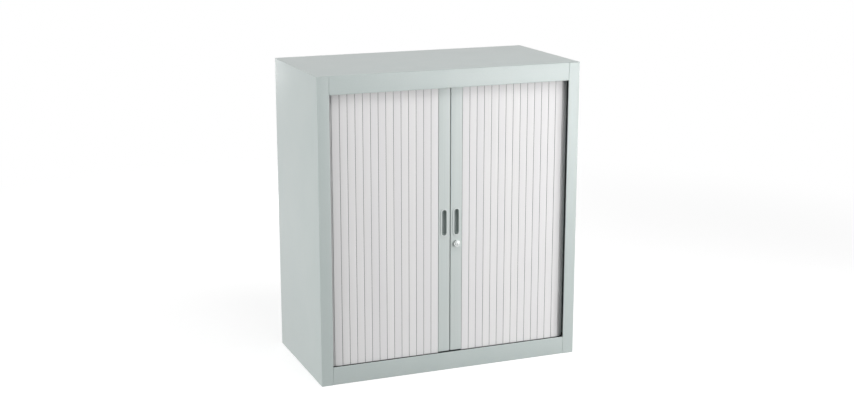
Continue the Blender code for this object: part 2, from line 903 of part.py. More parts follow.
def lock_nut(finish):
    """Hexagon nut that clamps the housing from behind the bar's plate."""
    corner = nut_across_flats / 2 / math.cos(math.pi / 6)
    hexagon = arc((0, 0), corner, 0, 300, 5)
    front = -fit_gap - bar_plate - fit_gap
    outlines = [hexagon, ring(lock_body_radius + fit_gap)]
    mesh = prism("lock_nut", outlines, front - nut_thickness, front)
    return link("lock_nut", mesh, finish, lock_place())


def hook_outline():
    """The hook at rest, hanging down; its barb leads towards the other door as it turns up."""
    hub_spread = math.degrees(math.asin(hook_arm_half_width / hook_hub_radius))
    end_spread = math.degrees(math.asin(hook_arm_half_width / hook_reach))
    inner = hook_reach - hook_barb_width
    root_spread = math.degrees(math.asin(hook_arm_half_width / inner))
    outline = arc((0, 0), hook_hub_radius, hub_spread - 90, 270 - hub_spread, 2 * arc_steps)
    outline += arc((0, 0), inner, 270 - root_spread, 270 - hook_barb_angle, bend_steps)
    outline += arc((0, 0), hook_reach, 270 - hook_barb_angle, 270 + end_spread, arc_steps)
    return outline


def lock_hook(finish):
    depth = hook_front - bar_face - fit_gap
    outlines = [hook_outline(), square(lock_tail_half_width + fit_gap)]
    mesh = prism("lock_hook", outlines, depth - hook_thickness, depth)
    return link("lock_hook", mesh, finish, lock_place())


def strike_plate(finish):
    """Plate inside the left bar's meeting wall, slotted for the hook, which catches behind it."""
    low_z, high_z = hook_slot_heights()
    wall = meeting_gap / 2 + bar_wall + fit_gap
    middle = joint_y - hook_front + hook_thickness / 2
    near, far = middle - strike_depth / 2, middle + strike_depth / 2
    mesh = block(
        "strike_plate",
        (-wall - strike_thickness, near, low_z - strike_length_past_slot),
        (-wall, far, high_z + strike_length_past_slot))
    piece = link("strike_plate", mesh, finish)
    slot = block(
        "strike_slot",
        (-wall - strike_thickness - cut_overrun, middle - hook_thickness / 2 - hook_slot_margin, low_z),
        (-wall + cut_overrun, middle + hook_thickness / 2 + hook_slot_margin, high_z))
    combine(piece, cutter("strike_slot", slot), "DIFFERENCE")
    return piece


def lug_outline():
    """A shelf's lug, its first axis outwards from the shelf's end and its second down from the top."""
    through = liner_outer - sheet - shelf_end_x()
    behind = through + sheet + fit_gap
    top = -lug_drop_below_top + lug_height
    return [
        (-lug_root, top),
        (behind + lug_hook_width, top),
        (behind + lug_hook_width, -lug_drop_below_top - lug_hook_depth),
        (behind, -lug_drop_below_top - lug_hook_depth),
        (behind, -lug_drop_below_top),
        (-lug_root, -lug_drop_below_top),
    ]


def shelf_end_x():
    return liner_outer - sheet - shelf_side_gap


def shelf(name, slot_number, paint):
    """A tray shelf, folded down and in along both edges, hooked into the liners at its four corners."""
    top = slot_heights()[slot_number] + fit_gap + lug_drop_below_top
    z = top - sheet / 2
    front, back = shelf_columns()
    corners = [
        (front + shelf_lip, z - shelf_fold, 0),
        (front, z - shelf_fold, bend_radius),
        (front, z, bend_radius),
        (back, z, bend_radius),
        (back, z - shelf_fold, bend_radius),
        (back - shelf_lip, z - shelf_fold, 0),
    ]
    end = shelf_end_x()
    piece = folded_sheet(name, corners, -end, end, paint, False)
    for side, word in ((1, "right"), (-1, "left")):
        outline = [(side * x, y) for x, y in lug_outline()]
        mesh = prism(f"{name}_{word}_lug", [outline], -lug_thickness / 2, lug_thickness / 2)
        for y, where in ((front, "front"), (back, "back")):
            place = Matrix.Translation((side * end, y, top)) @ turned_about("X", 90)
            combine(piece, cutter(f"{name}_{word}_{where}_lug", mesh, place), "UNION")
    return piece


def carcass(paint, plastic):
    side_panel("left_side_panel", -1, paint)
    side_panel("right_side_panel", 1, paint)
    top_panel(paint)
    base_panel(paint)
    back_panel(paint)
    liner("left_liner", -1, paint)
    liner("right_liner", 1, paint)
    shelf("lower_shelf", lower_shelf_slot, paint)
    shelf("upper_shelf", upper_shelf_slot, paint)
    bottom_low = track_bottom
    track("bottom_track", bottom_low, groove_floor, bottom_low + track_height + cut_overrun, plastic)
    top_low = track_top - track_height
    track("top_track", top_low, top_low - cut_overrun, groove_roof, plastic)
    track_stop("left_track_stop", -1, plastic)
    track_stop("right_track_stop", 1, plastic)


def door(word, side, finishes, glide_meshes):
    axis = axis_empty(word + "_shutter_axis", (side * bar_middle, joint_y, groove_floor))
    bar = lead_bar(word + "_lead_bar", side, finishes["paint"])
    pull = finger_pull(word + "_finger_pull", side, finishes["pull"])
    lower = glide(word + "_lower_glide", side, False, glide_meshes, finishes["track"])
    upper = glide(word + "_upper_glide", side, True, glide_meshes, finishes["track"])
    slats(side, word, finishes["slat"], axis)
    carry([bar, pull, lower, upper], axis)
    return bar, axis


def lock(right_bar, right_axis, left_axis, finishes):
    drill_for_lock(right_bar)
    housing = lock_housing(finishes["bright"])
    nut = lock_nut(finishes["zinc"])
    plug = lock_plug(finishes["bright"])
    hook = lock_hook(finishes["zinc"])
    carry([housing, nut], right_axis)
    carry([strike_plate(finishes["zinc"])], left_axis)
    lock_axis = axis_empty("lock_axis", (bar_middle, joint_y - bar_face, lock_height))
    carry([plug, hook], lock_axis)
    carry([lock_axis], right_axis)


def main():
    finishes = {
        "paint": powder_coat(),
        "slat": slat_plastic(),
        "track": track_plastic(),
        "pull": pull_plastic(),
        "bright": bright_plate(),
        "zinc": zinc_plate(),
    }
    carcass(finishes["paint"], finishes["track"])
    glide_meshes = glide_mesh()
    _, left_axis = door("left", -1, finishes, glide_meshes)
    right_bar, right_axis = door("right", 1, finishes, glide_meshes)
    lock(right_bar, right_axis, left_axis, finishes)


main()
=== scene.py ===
"""The looks of a steel office cupboard with two side-opening tambour doors.

Metres, +Z up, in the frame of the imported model: the origin is the middle of the footprint on the
floor, the doors face -Y, and +X is to the right of someone who faces them.
"""

import json
import math

import bpy
import numpy as np
from mathutils import Euler, Matrix, Vector


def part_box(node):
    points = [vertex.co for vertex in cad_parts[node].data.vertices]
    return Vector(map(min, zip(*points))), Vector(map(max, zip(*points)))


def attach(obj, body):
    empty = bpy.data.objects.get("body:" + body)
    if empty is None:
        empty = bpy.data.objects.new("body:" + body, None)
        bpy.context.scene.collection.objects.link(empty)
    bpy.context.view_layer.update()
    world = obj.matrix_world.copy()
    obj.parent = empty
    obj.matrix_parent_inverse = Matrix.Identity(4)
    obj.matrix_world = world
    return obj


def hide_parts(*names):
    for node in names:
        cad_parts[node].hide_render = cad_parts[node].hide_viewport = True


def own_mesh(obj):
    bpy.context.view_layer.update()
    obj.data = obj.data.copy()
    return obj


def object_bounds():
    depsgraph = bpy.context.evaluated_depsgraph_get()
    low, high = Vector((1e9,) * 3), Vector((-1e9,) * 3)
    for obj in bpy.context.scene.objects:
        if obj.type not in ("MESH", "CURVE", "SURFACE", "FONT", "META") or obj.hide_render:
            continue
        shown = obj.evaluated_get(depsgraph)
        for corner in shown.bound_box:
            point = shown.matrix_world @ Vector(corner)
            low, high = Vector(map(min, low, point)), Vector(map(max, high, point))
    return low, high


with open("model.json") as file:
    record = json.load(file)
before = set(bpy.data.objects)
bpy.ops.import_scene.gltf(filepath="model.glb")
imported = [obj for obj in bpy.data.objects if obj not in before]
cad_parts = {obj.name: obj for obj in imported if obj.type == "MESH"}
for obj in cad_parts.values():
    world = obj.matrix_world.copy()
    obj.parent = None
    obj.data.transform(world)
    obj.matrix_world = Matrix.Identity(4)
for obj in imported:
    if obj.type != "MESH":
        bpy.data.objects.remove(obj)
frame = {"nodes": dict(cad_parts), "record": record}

cad_low, cad_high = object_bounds()

# Overall size and the sheet steel, as the solids have them.
sides = ((-1, "left"), (1, "right"))
half_width = cad_high.x
front_y = cad_low.y
back_y = cad_high.y
cabinet_height = cad_high.z
sheet = 0.0012
bend_radius = 0.0020
hem_gap = 0.0003
fit_gap = 0.0003
seam_gap = 0.0005
hem_step = sheet + hem_gap
front_mid = front_y + sheet / 2
back_mid = back_y - sheet / 2
hem_mid = front_mid + hem_step
panel_top = cabinet_height - sheet - fit_gap
side_inner = half_width - sheet - fit_gap
steel_shell = ("carcass", "powder_coated_steel")

# Stiles, rails, flanges and the floor.
stile_width = 0.040
stile_hem = 0.012
back_return = 0.018
top_rail = 0.060
bottom_rail = 0.061
back_flange = 0.020
foot_return = 0.025
floor_height = 0.046
back_panel_edge = 0.012
web_drop = 0.044
web_depth = 0.046
web_lip = 0.010
seam_strip = 0.008
skirt_height = 3 * sheet
rail_reach = half_width - stile_width - seam_gap

# The line that the curtain's joints follow, and the grooved tracks.
curtain_setback = 0.0222
joint_y = front_y + curtain_setback
corner_radius = 0.039
side_run_inset = 0.024
side_run_x = half_width - side_run_inset
straight_end = side_run_x - corner_radius
corner_y = joint_y + corner_radius
track_end_inset = 0.015
track_end_y = back_y - track_end_inset
track_half_width = 0.0066
groove_half_width = 0.0050
track_height = 0.0120
track_floor = 0.0020
track_tip_round = 0.0005
bottom_track_low = floor_height + fit_gap
top_track_low = cabinet_height - web_drop - fit_gap - track_height

# Slats.
slats_each_side = 16
lift_out_play = 0.0025
slat_low = floor_height + 2 * fit_gap + track_floor
slat_high = cabinet_height - web_drop - fit_gap - track_floor - lift_out_play
slat_face = 0.0042
slat_plate = 0.0014
slat_crown = 0.0005
slat_edge_round = 0.0005
slat_groove = 0.0012
tail_lead = 0.0020
bead_radius = 0.0015
socket_inner = 0.0019
socket_outer = 0.0031
neck_half_width = 0.0006
rib_place_share = 0.16
rib_thickness = 0.0010
rib_depth = 0.0042
door_travel = 0.350
whole_slats = 2
pocket_inset = 0.0045
# Painted shade in the grooves between slats: full at a joint that lies straight, fading as the joint
# turns, down to this share of full from about 12 degrees on.
open_groove_turn_degrees = 14
open_groove_painted_shade = 0.15

# Lead bars, finger pulls and the lock.
meeting_gap = 0.0034
bar_width = 0.0404
bar_joint = meeting_gap / 2 + bar_width
bar_proud = 0.0006
bar_face = slat_face + bar_proud
bar_plate = 0.0018
bar_wall = 0.0016
bar_depth = 0.0168
bar_rear = bar_face - bar_depth
bar_lip = 0.0080
bar_web_inset = 0.0043
bar_web_outer = bar_joint - bar_web_inset
bar_edge_round = 0.0010
bar_middle = (meeting_gap / 2 + bar_joint) / 2
pull_height = 0.506
pull_length = 0.096
pull_width = 0.0260
pull_rim = 0.0014
pull_rim_width = 0.0050
pull_wall = 0.0011
pull_depth = 0.0130
pull_floor_round = 0.0024
pull_floor_run = 0.0045
pull_back_round = 0.0002
pull_front_round = 0.0009
pull_mouth_round = 0.0010
pull_margin = 0.0002
# Painted shadow line round each pull: the rim's outer edge is painted this share of the way to the
# cup's darker grey.
pull_rim_painted_shadow = 0.8
pull_straight = (pull_length - pull_width) / 2
pull_body_radius = pull_width / 2 - pull_rim_width + pull_wall
lock_height = 0.432
lock_bezel_radius = 0.0115
lock_bezel_depth = 0.0080
lock_bezel_round = 0.0014
lock_bezel_ease = 0.0006
lock_face_ring = 0.0010
lock_face_drop = 0.0002
lock_body_radius = 0.0080
lock_body_length = 0.0066
lock_bore_radius = 0.0066
lock_plug_proud = 0.0004
lock_plug_ease = 0.0005
plug_front = lock_bezel_depth + lock_plug_proud
lock_tail_half_width = 0.0034
lock_tail_length = 0.0046
lock_tail_flange_radius = 0.0050
lock_tail_flange = 0.0012
hook_slot_front = 0.0013
hook_slot_back = 0.0063
hook_slot_below = 0.0312
hook_slot_above = 0.0052
key_slot_radius = 0.0007
key_slot_straight = 0.0033
key_slot_depth = 0.0060
key_ward_half_width = 0.0020
key_ward_top = -0.0018
key_ward_foot = -0.0030
key_ward_depth = 0.0050
cutter_overshoot = 0.0020

# Small things that only the looks have.
weld_pitch = 0.085
weld_radius = 0.0032
weld_depth = 0.00025
weld_fade = (0.0022, 0.0008)
rivet_radius = 0.0032
rivet_rise = 0.0011
rivet_inset = 0.030
rivet_top_inset = 0.060
shortest_step = 1e-7


def from_screen(values):
    """Screen values from 0 to 255 as the linear colour that a socket takes."""
    shares = [value / 255 for value in values]
    return tuple(s / 12.92 if s <= 0.04045 else ((s + 0.055) / 1.055) ** 2.4 for s in shares) + (1.0,)


class Link:
    """A socket in a node tree, on which plain arithmetic adds Math nodes."""

    def __init__(self, nodes, socket):
        self.nodes = nodes
        self.socket = socket

    def math(self, operation, *others):
        """This value put through a Math node, with any further values it needs."""
        return self.nodes.math(operation, self, *others)

    def __add__(self, other):
        return self.math("ADD", other)

    def __radd__(self, other):
        return self.nodes.math("ADD", other, self)

    def __sub__(self, other):
        return self.math("SUBTRACT", other)

    def __rsub__(self, other):
        return self.nodes.math("SUBTRACT", other, self)

    def __mul__(self, other):
        return self.math("MULTIPLY", other)

    def __rmul__(self, other):
        return self.nodes.math("MULTIPLY", other, self)

    def __truediv__(self, other):
        return self.math("DIVIDE", other)

    def __rtruediv__(self, other):
        return self.nodes.math("DIVIDE", other, self)

    def __abs__(self):
        return self.math("ABSOLUTE")

    def ramp(self, low, high):
        """0 at low, 1 at high, held beyond both, and smooth between."""
        settings = {"interpolation_type": "SMOOTHSTEP"}
        inputs = {"Value": self, "From Min": low, "From Max": high}
        return self.nodes.node("ShaderNodeMapRange", settings, inputs)


class Nodes:
    """A node tree, to which nodes are added one call at a time."""

    def __init__(self, tree):
        self.tree = tree

    def join(self, socket, value):
        """Sets a socket to a number or colour, or joins a link to it."""
        if isinstance(value, Link):
            self.tree.links.new(value.socket, socket)
        else:
            socket.default_value = value

    def node(self, kind, settings=None, inputs=None, output=0):
        """A node of this kind with its settings made first and its sockets filled after."""
        made = self.tree.nodes.new(kind)
        for word, value in (settings or {}).items():
            setattr(made, word, value)
        for socket, value in (inputs or {}).items():
            self.join(made.inputs[socket], value)
        return Link(self, made.outputs[output])

    def math(self, operation, *values):
        return self.node("ShaderNodeMath", {"operation": operation}, dict(enumerate(values)))


class Finish(Nodes):
    """One material, built from nodes around its shader."""

    def __init__(self, name, roughness, metallic=0.0, **constants):
        self.material = bpy.data.materials.new(name)
        self.material.use_nodes = True
        super().__init__(self.material.node_tree)
        self.shader = self.tree.nodes["Principled BSDF"]
        self.put("Roughness", roughness)
        self.put("Metallic", metallic)
        for words, value in constants.items():
            self.put(words.replace("_", " "), value)

    def put(self, socket, value):
        """Sets a socket of the shader to a number or colour, or joins a link to it."""
        self.join(self.shader.inputs[socket], value)

    def place(self, scale=(1.0, 1.0, 1.0)):
        """Object coordinates, stretched by a scale in each direction."""
        coordinates = self.node("ShaderNodeTexCoord", output="Object")
        return self.node("ShaderNodeMapping", inputs={"Vector": coordinates, "Scale": scale})

    def axes(self):
        """The three object coordinates as separate numbers."""
        coordinates = self.node("ShaderNodeTexCoord", output="Object")
        split = self.node("ShaderNodeSeparateXYZ", inputs={"Vector": coordinates})
        return [Link(self, output) for output in split.socket.node.outputs]

    def noise(self, scale, detail=2.0, roughness=0.5, stretch=(1.0, 1.0, 1.0)):
        inputs = {"Vector": self.place(stretch), "Scale": scale, "Detail": detail}
        return self.node("ShaderNodeTexNoise", inputs={**inputs, "Roughness": roughness})

    def attribute(self, name):
        return self.node("ShaderNodeAttribute", {"attribute_name": name}, output="Fac")

    def mix(self, factor, *colours):
        """A colour between two colours, each one a link or screen values."""
        first, second = (c if isinstance(c, Link) else from_screen(c) for c in colours)
        settings = {"data_type": "RGBA"}
        return self.node("ShaderNodeMix", settings, {0: factor, 6: first, 7: second}, output=2)

    def dressed(self, colour, roughness, normal):
        """Gives the shader these three, and hands over the material."""
        for socket, value in zip(("Base Color", "Roughness", "Normal"), (colour, roughness, normal)):
            self.put(socket, value)
        return self.material

    def bump(self, height, depth, before=None):
        """Raises the surface by height times depth, on top of any earlier bump."""
        inputs = {"Height": height, "Strength": 1.0, "Distance": depth}
        if before is not None:
            inputs["Normal"] = before
        return self.node("ShaderNodeBump", inputs=inputs)


def weld_dimples(finish):
    """1 inside round dimples up the folds at the rear, and 0 outside them.

    Ping-pong folds the height into the distance from the nearest dimple.
    """
    x, y, z = finish.axes()
    rise = (z + weld_pitch / 2).math("PINGPONG", weld_pitch / 2)
    aside = abs(abs(x) - (half_width - back_return / 2))
    apart = (aside * aside + rise * rise).math("SQRT")
    inside = 1 - apart.ramp(weld_radius * 0.55, weld_radius)
    return inside * y.ramp(*(back_y - inset for inset in weld_fade))


def powder_coat():
    """Pale green-grey powder coat: fine orange peel, faint clouds, and shallow weld marks behind."""
    finish = Finish("pale_powder_coat", 0.33, Specular_IOR_Level=0.4)
    cloud = finish.noise(7.0, 3.0)
    fine = finish.noise(420.0, 2.0)
    base = finish.mix(cloud.ramp(0.3, 0.7), (192, 202, 200), (195, 204, 202))
    speck = finish.mix(fine.ramp(0.35, 0.75), base, (186, 197, 195))
    roughness = 0.28 + finish.noise(13.0, 4.0) * 0.07 + fine * 0.04
    peel = finish.bump(finish.noise(520.0, 1.0), 0.000035)
    waves = finish.bump(finish.noise(9.0, 1.0), 0.00030, peel)
    welds = finish.bump(0 - weld_dimples(finish), weld_depth, waves)
    return finish.dressed(finish.mix(0.5, base, speck), roughness, welds)


def bar_coat():
    """The lead bars' coat: the sheets' hue, a shade lighter and a little more matt."""
    finish = Finish("pale_bar_coat", 0.4, Specular_IOR_Level=0.4)
    cloud = finish.noise(9.0, 3.0)
    draw = finish.noise(1.0, 2.0, 0.5, (600.0, 600.0, 2.0))
    base = finish.mix(cloud.ramp(0.3, 0.7), (203, 211, 209), (205, 212, 210))
    colour = finish.mix(draw.ramp(0.4, 0.8), base, (199, 207, 205))
    peel = finish.bump(finish.noise(520.0, 1.0), 0.000030)
    return finish.dressed(colour, 0.34 + cloud * 0.08 + draw * 0.04, peel)


def slat_plastic():
    """Extruded white plastic: faint lines along the slat, each slat a little lighter or darker, and
    painted shade in dark grey on the edges, bead and socket that close into the grooves.
    """
    finish = Finish("white_slat_plastic", 0.42, Specular_IOR_Level=0.2)
    streak = finish.noise(1.0, 3.0, 0.6, (900.0, 900.0, 1.5))
    cloud = finish.noise(6.0, 2.0)
    tone = finish.attribute("tone")
    light = finish.mix(cloud.ramp(0.3, 0.7), (241, 240, 240), (243, 242, 242))
    dark = finish.mix(streak.ramp(0.3, 0.8), light, (235, 234, 234))
    body = finish.mix(tone, dark, (236, 235, 236))
    # Painted shade: dark grey on the parts of each slat that lie inside the grooves, as the edge
    # attribute gives it.
    colour = finish.mix(finish.attribute("edge"), body, (112, 112, 114))
    grain = finish.bump(finish.noise(300.0, 1.0), 0.000012, finish.bump(streak, 0.000030))
    return finish.dressed(colour, 0.46 + streak * 0.10 + cloud * 0.04, grain)


def track_plastic():
    """Dark moulded plastic, with a fine grain and a rubbed gloss along the run."""
    finish = Finish("dark_track_plastic", 0.5)
    grain = finish.noise(1400.0, 2.0)
    rub = finish.noise(40.0, 3.0)
    colour = finish.mix(rub.ramp(0.35, 0.75), (36, 39, 40), (48, 51, 52))
    return finish.dressed(colour, 0.42 + rub * 0.22, finish.bump(grain, 0.00003))


def pull_plastic():
    """Moulded plastic whose rim matches the paint and whose cup is darker, with an eroded grain, and a
    painted shadow line of the cup's grey round the rim's outer edge.
    """
    finish = Finish("moulded_pull", 0.4, Specular_IOR_Level=0.4)
    grain = finish.noise(1800.0, 2.0)
    # 1 in the cup, and part of the way on the rim's outer edge, where it is a painted shadow line.
    cup = finish.attribute("cup")
    rim = finish.mix(grain.ramp(0.3, 0.7), (206, 213, 211), (210, 216, 214))
    inside = finish.mix(grain.ramp(0.3, 0.7), (158, 168, 166), (164, 173, 171))
    roughness = 0.38 + cup * 0.12 + grain * 0.06
    return finish.dressed(finish.mix(cup, rim, inside), roughness, finish.bump(grain, 0.000025))


def bright_plate():
    """Bright nickel plate, turned and handled: fine rings about the lock's axis, and scratches."""
    finish = Finish("bright_plate", 0.3, 1.0)
    x, _, z = finish.axes()
    aside, up = x - bar_middle, z - lock_height
    rings = ((aside * aside + up * up).math("SQRT") * 9000).math("SINE")
    scratch = finish.noise(240.0, 4.0, 0.7, (1.0, 1.0, 6.0))
    colour = finish.mix(finish.noise(1.0), (174, 178, 177), (185, 188, 187))
    return finish.dressed(colour, 0.28 + scratch * 0.12, finish.bump(rings + scratch, 0.000004))


def zinc_plate():
    """Zinc plate with a faint spangle and rolling lines."""
    finish = Finish("zinc_plate", 0.35, 1.0)
    inputs = {"Vector": finish.place(), "Scale": 260.0}
    spangle = finish.node("ShaderNodeTexVoronoi", inputs=inputs)
    colour = finish.mix(spangle.ramp(0.1, 0.8), (186, 190, 194), (170, 174, 177))
    rolling = finish.bump(finish.noise(1.0, 2.0, 0.5, (300.0, 300.0, 20.0)), 0.00002)
    return finish.dressed(colour, 0.26 + spangle * 0.2, rolling)


def rivet_steel():
    """Painted rivet heads: a shade lighter than the sheets, with small darker chips."""
    finish = Finish("rivet_paint", 0.42)
    chip = finish.noise(700.0, 3.0)
    colour = finish.mix(chip.ramp(0.4, 0.8), (211, 218, 216), (188, 195, 194))
    return finish.dressed(colour, 0.36 + chip * 0.2, finish.bump(chip, 0.00003))


def arc(centre, radius, start, end, steps):
    """Points at equal angles on an arc: the centre plus the radius times cosine and sine."""
    angles = np.radians(np.linspace(start, end, steps + 1))
    return np.asarray(centre) + radius * np.stack([np.cos(angles), np.sin(angles)], 1)


def unit(vector):
    """A vector over its length."""
    return vector / np.linalg.norm(vector)


def rounded(corners, steps=8):
    """The line through corners (a, b, radius), each inner one made an arc that touches its sides.

    A point of an arc weighs the arc's two ends by the sines of the angles left and done.
    """
    points = [np.array([corners[0][:2]])]
    for before, here, after in zip(corners, corners[1:], corners[2:]):
        corner = np.array(here[:2])
        ahead, back = (unit(np.array(end[:2]) - corner) for end in (after, before))
        turn = math.pi - math.acos(np.clip(ahead @ back, -1, 1))
        middle = corner + unit(ahead + back) * here[2] / math.cos(turn / 2)
        start = corner + back * here[2] * math.tan(turn / 2) - middle
        end = corner + ahead * here[2] * math.tan(turn / 2) - middle
        share = np.linspace(0, turn, steps + 1)[:, None]
        points.append(middle + (start * np.sin(turn - share) + end * np.sin(share)) / math.sin(turn))
    points.append(np.array([corners[-1][:2]]))
    line = np.concatenate(points)
    keep = np.append(True, np.linalg.norm(np.diff(line, axis=0), axis=1) > shortest_step)
    return line[keep]


def sides_of(line, offset):
    """The line moved sideways by offset, each point along the mean of its two segments' normals."""
    steps = np.diff(line, axis=0)
    normals = np.stack([-steps[:, 1], steps[:, 0]], 1) / np.linalg.norm(steps, axis=1)[:, None]
    before = np.concatenate([normals[:1], normals])
    after = np.concatenate([normals, normals[-1:]])
    mean = before + after
    mean /= np.linalg.norm(mean, axis=1)[:, None]
    return line + mean * offset / (mean * after).sum(axis=1)[:, None]


def rectangle(left, right, low, high):
    """Its four corners, anticlockwise."""
    return np.array([(left, low), (right, low), (right, high), (left, high)])


def folded_outline(corners):
    """The closed outline of a folded sheet: its rounded middle line moved half the sheet each way."""
    line = rounded(corners)
    return np.concatenate([sides_of(line, sheet / 2), sides_of(line, -sheet / 2)[::-1]])


def signed_area(outline):
    """Half the sum of neighbouring points' cross products: above 0 when they run anticlockwise."""
    x, y = outline.T
    return (x * np.roll(y, -1) - y * np.roll(x, -1)).sum() / 2


def grid_faces(rows, columns, closed=False):
    """Quads between neighbouring rings of points, and from the last ring to the first if closed."""
    i, j = np.meshgrid(np.arange(rows if closed else rows - 1), np.arange(columns), indexing="ij")
    right = (j + 1) % columns
    low, high = i * columns, (i + 1) % rows * columns
    return np.stack([low + j, low + right, high + right, high + j], -1).reshape(-1, 4).tolist()


def end_caps(count, total):
    """A face over the first ring of points, turned back, and one over the last."""
    return [list(range(count))[::-1], list(range(total - count, total))]


def linked(name, points, faces):
    """A new object in the scene, from points and faces."""
    mesh = bpy.data.meshes.new(name)
    mesh.from_pydata(np.asarray(points).tolist(), [], faces)
    mesh.update()
    made = bpy.data.objects.new(name, mesh)
    bpy.context.scene.collection.objects.link(made)
    return made


def mark(piece, name, values):
    """Keeps one number at each point of a piece, for its material to read."""
    attribute = piece.data.attributes.new(name, "FLOAT", "POINT")
    attribute.data.foreach_set("value", np.asarray(values, np.float32))


def run_of(outline, low, high, axis="Z"):
    """Points and faces of an outline run straight along an axis from low to high, closed at both ends.

    The outline's two numbers are x and y for a run along Z, and y and z for a run along X.
    """
    if signed_area(outline) < 0:
        outline = outline[::-1]
    count = len(outline)
    ends = np.repeat([low, high], count)[:, None]
    flat = np.concatenate([outline, outline])
    points = np.hstack([flat, ends]) if axis == "Z" else np.hstack([ends, flat])
    return points, grid_faces(2, count) + end_caps(count, 2 * count)


def joined(parts):
    """Several (points, faces) pairs as one pair."""
    points, faces, first = [], [], 0
    for part_points, part_faces in parts:
        points.append(part_points)
        faces += [[index + first for index in face] for face in part_faces]
        first += len(part_points)
    return np.concatenate(points), faces


def rings_about_z(radii, heights, steps):
    """Rings of points: at angle a, a ring's point is (radius cos a, radius sin a, height)."""
    angles = np.linspace(0, 2 * math.pi, steps, endpoint=False)
    x, y = radii * np.cos(angles), radii * np.sin(angles)
    return np.stack([x, y, np.broadcast_to(heights, x.shape)], -1).reshape(-1, 3)


def turned(profile, steps=96):
    """Points and faces of a closed profile of (radius, height), turned about the Z axis."""
    if signed_area(profile) < 0:
        profile = profile[::-1]
    points = rings_about_z(profile[:, :1], profile[:, 1:], steps)
    return points, grid_faces(len(profile), steps, closed=True)


def dome(radius, height, rings=10, steps=24):
    """Points and faces of a dome on a flat base, closed by one point at its top.

    Its profile is a quarter of an ellipse: radius times cosine outwards and height times sine upwards.
    """
    share = np.linspace(0, math.pi / 2, rings + 1)[:-1, None]
    around = rings_about_z(radius * np.cos(share), height * np.sin(share), steps)
    points = np.vstack([around, [[0, 0, height]]])
    last = len(around) - steps
    tip = [[last + i, last + (i + 1) % steps, len(around)] for i in range(steps)]
    return points, grid_faces(rings, steps) + tip + [list(range(steps))[::-1]]


def moved(part, matrix):
    """The same points and faces, with a matrix applied to the points."""
    points, faces = part
    turn = np.array(matrix)
    return points @ turn[:3, :3].T + turn[:3, 3], faces


def facing_front(x, v, z):
    """Turns a piece's Z axis to the front and keeps its X axis, at v before the joint line."""
    return Matrix.Translation((x, joint_y - v, z)) @ Matrix.Rotation(math.pi / 2, 4, "X")


def mirrored(outline, side):
    """The corners of an outline, on the right for a side of 1 and on the left for -1."""
    return [(side * corner[0], *corner[1:]) for corner in outline]


def carve(piece, cutters):
    """Cuts closed shapes out of a piece for good, and removes them."""
    for cutter in cutters:
        step = piece.modifiers.new(cutter.name, "BOOLEAN")
        step.operation = "DIFFERENCE"
        step.solver = "EXACT"
        step.object = cutter
    graph = bpy.context.evaluated_depsgraph_get()
    piece.data = bpy.data.meshes.new_from_object(piece.evaluated_get(graph))
    piece.modifiers.clear()
    for cutter in cutters:
        bpy.data.objects.remove(cutter)


def new_piece(name, part, material, body, slot, *nodes, sharp=30, cutters=()):
    """A piece from points and faces, cut to shape, on its body, and in place of these solids."""
    piece = linked(name, *part)
    piece.data.materials.append(material)
    if cutters:
        carve(piece, cutters)
    piece.data.shade_smooth()
    piece.data.set_sharp_from_angle(angle=math.radians(sharp))
    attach(piece, body)
    if nodes:
        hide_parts(*nodes)
    return piece


def side_panels(paint):
    """One folded sheet each, run upright: a return at the back, the side, the stile and its hem."""
    edge = half_width - sheet / 2
    stile_end = half_width - stile_width + sheet / 2
    corners = [
        (half_width - back_return, back_mid, 0),
        (edge, back_mid, bend_radius),
        (edge, front_mid, bend_radius),
        (stile_end, front_mid, hem_step / 2),
        (stile_end, hem_mid, hem_step / 2),
        (half_width - stile_width + stile_hem, hem_mid, 0),
    ]
    for side, word in sides:
        part = run_of(folded_outline(mirrored(corners, side)), 0, panel_top)
        new_piece(f"{word}_side_skin", part, paint, *steel_shell, f"{word}_side_panel")


def both_ends(outline, near, far):
    """The same outline run along X at both ends, between two distances from the middle."""
    return [run_of(outline, near, far, "X"), run_of(outline, -far, -near, "X")]


def seam_strips(low, high):
    """Upright strips behind the seams between a rail and the stiles, against the light."""
    seam = half_width - stile_width - seam_gap / 2
    near, far = seam - seam_strip / 2, seam + seam_strip / 2
    y = front_y + sheet + hem_step + fit_gap
    outline = rectangle(near, far, y, y + sheet / 2)
    return [run_of(outline * (side, 1), low, high) for side in (-1, 1)]


def top_panel(paint):
    """Top sheet, front fascia, hem and web between the stiles, and the plain corners beside them.

    Each is a folded sheet run along X. The corners' plate has arcs for edges, down to its lower face.
    """
    hem_z = cabinet_height - top_rail + sheet / 2
    web_z = cabinet_height - web_drop + sheet / 2
    top_z = cabinet_height - sheet / 2
    full = [
        (back_mid, cabinet_height - back_flange, 0),
        (back_mid, top_z, bend_radius),
        (front_mid, top_z, bend_radius),
        (front_mid, hem_z, hem_step / 2),
        (hem_mid, hem_z, hem_step / 2),
        (hem_mid, web_z, bend_radius),
        (front_y + web_depth, web_z, bend_radius),
        (front_y + web_depth, web_z + web_lip, 0),
    ]
    web = [(front_y + sheet + hem_step + bend_radius, web_z, 0), *full[-2:]]
    round_over = bend_radius + sheet / 2
    low = cabinet_height - sheet
    plate = np.concatenate([
        [(front_y + round_over / 8, low)],
        arc((front_y + round_over, cabinet_height - round_over), round_over, 150, 90, 6),
        arc((back_y - round_over, cabinet_height - round_over), round_over, 90, 30, 6),
        [(back_y - round_over / 8, low)],
    ])
    back = half_width - back_return - fit_gap
    corner = [full[0], (back_mid, low, 0)]
    parts = [run_of(folded_outline(full), -rail_reach, rail_reach, "X")]
    parts += both_ends(folded_outline(web), rail_reach, side_inner)
    parts += both_ends(plate, rail_reach, half_width)
    parts += both_ends(folded_outline(corner), rail_reach, back)
    parts += seam_strips(cabinet_height - top_rail + hem_step, cabinet_height - 2 * sheet)
    new_piece("top_skin", joined(parts), paint, *steel_shell, "top_panel")


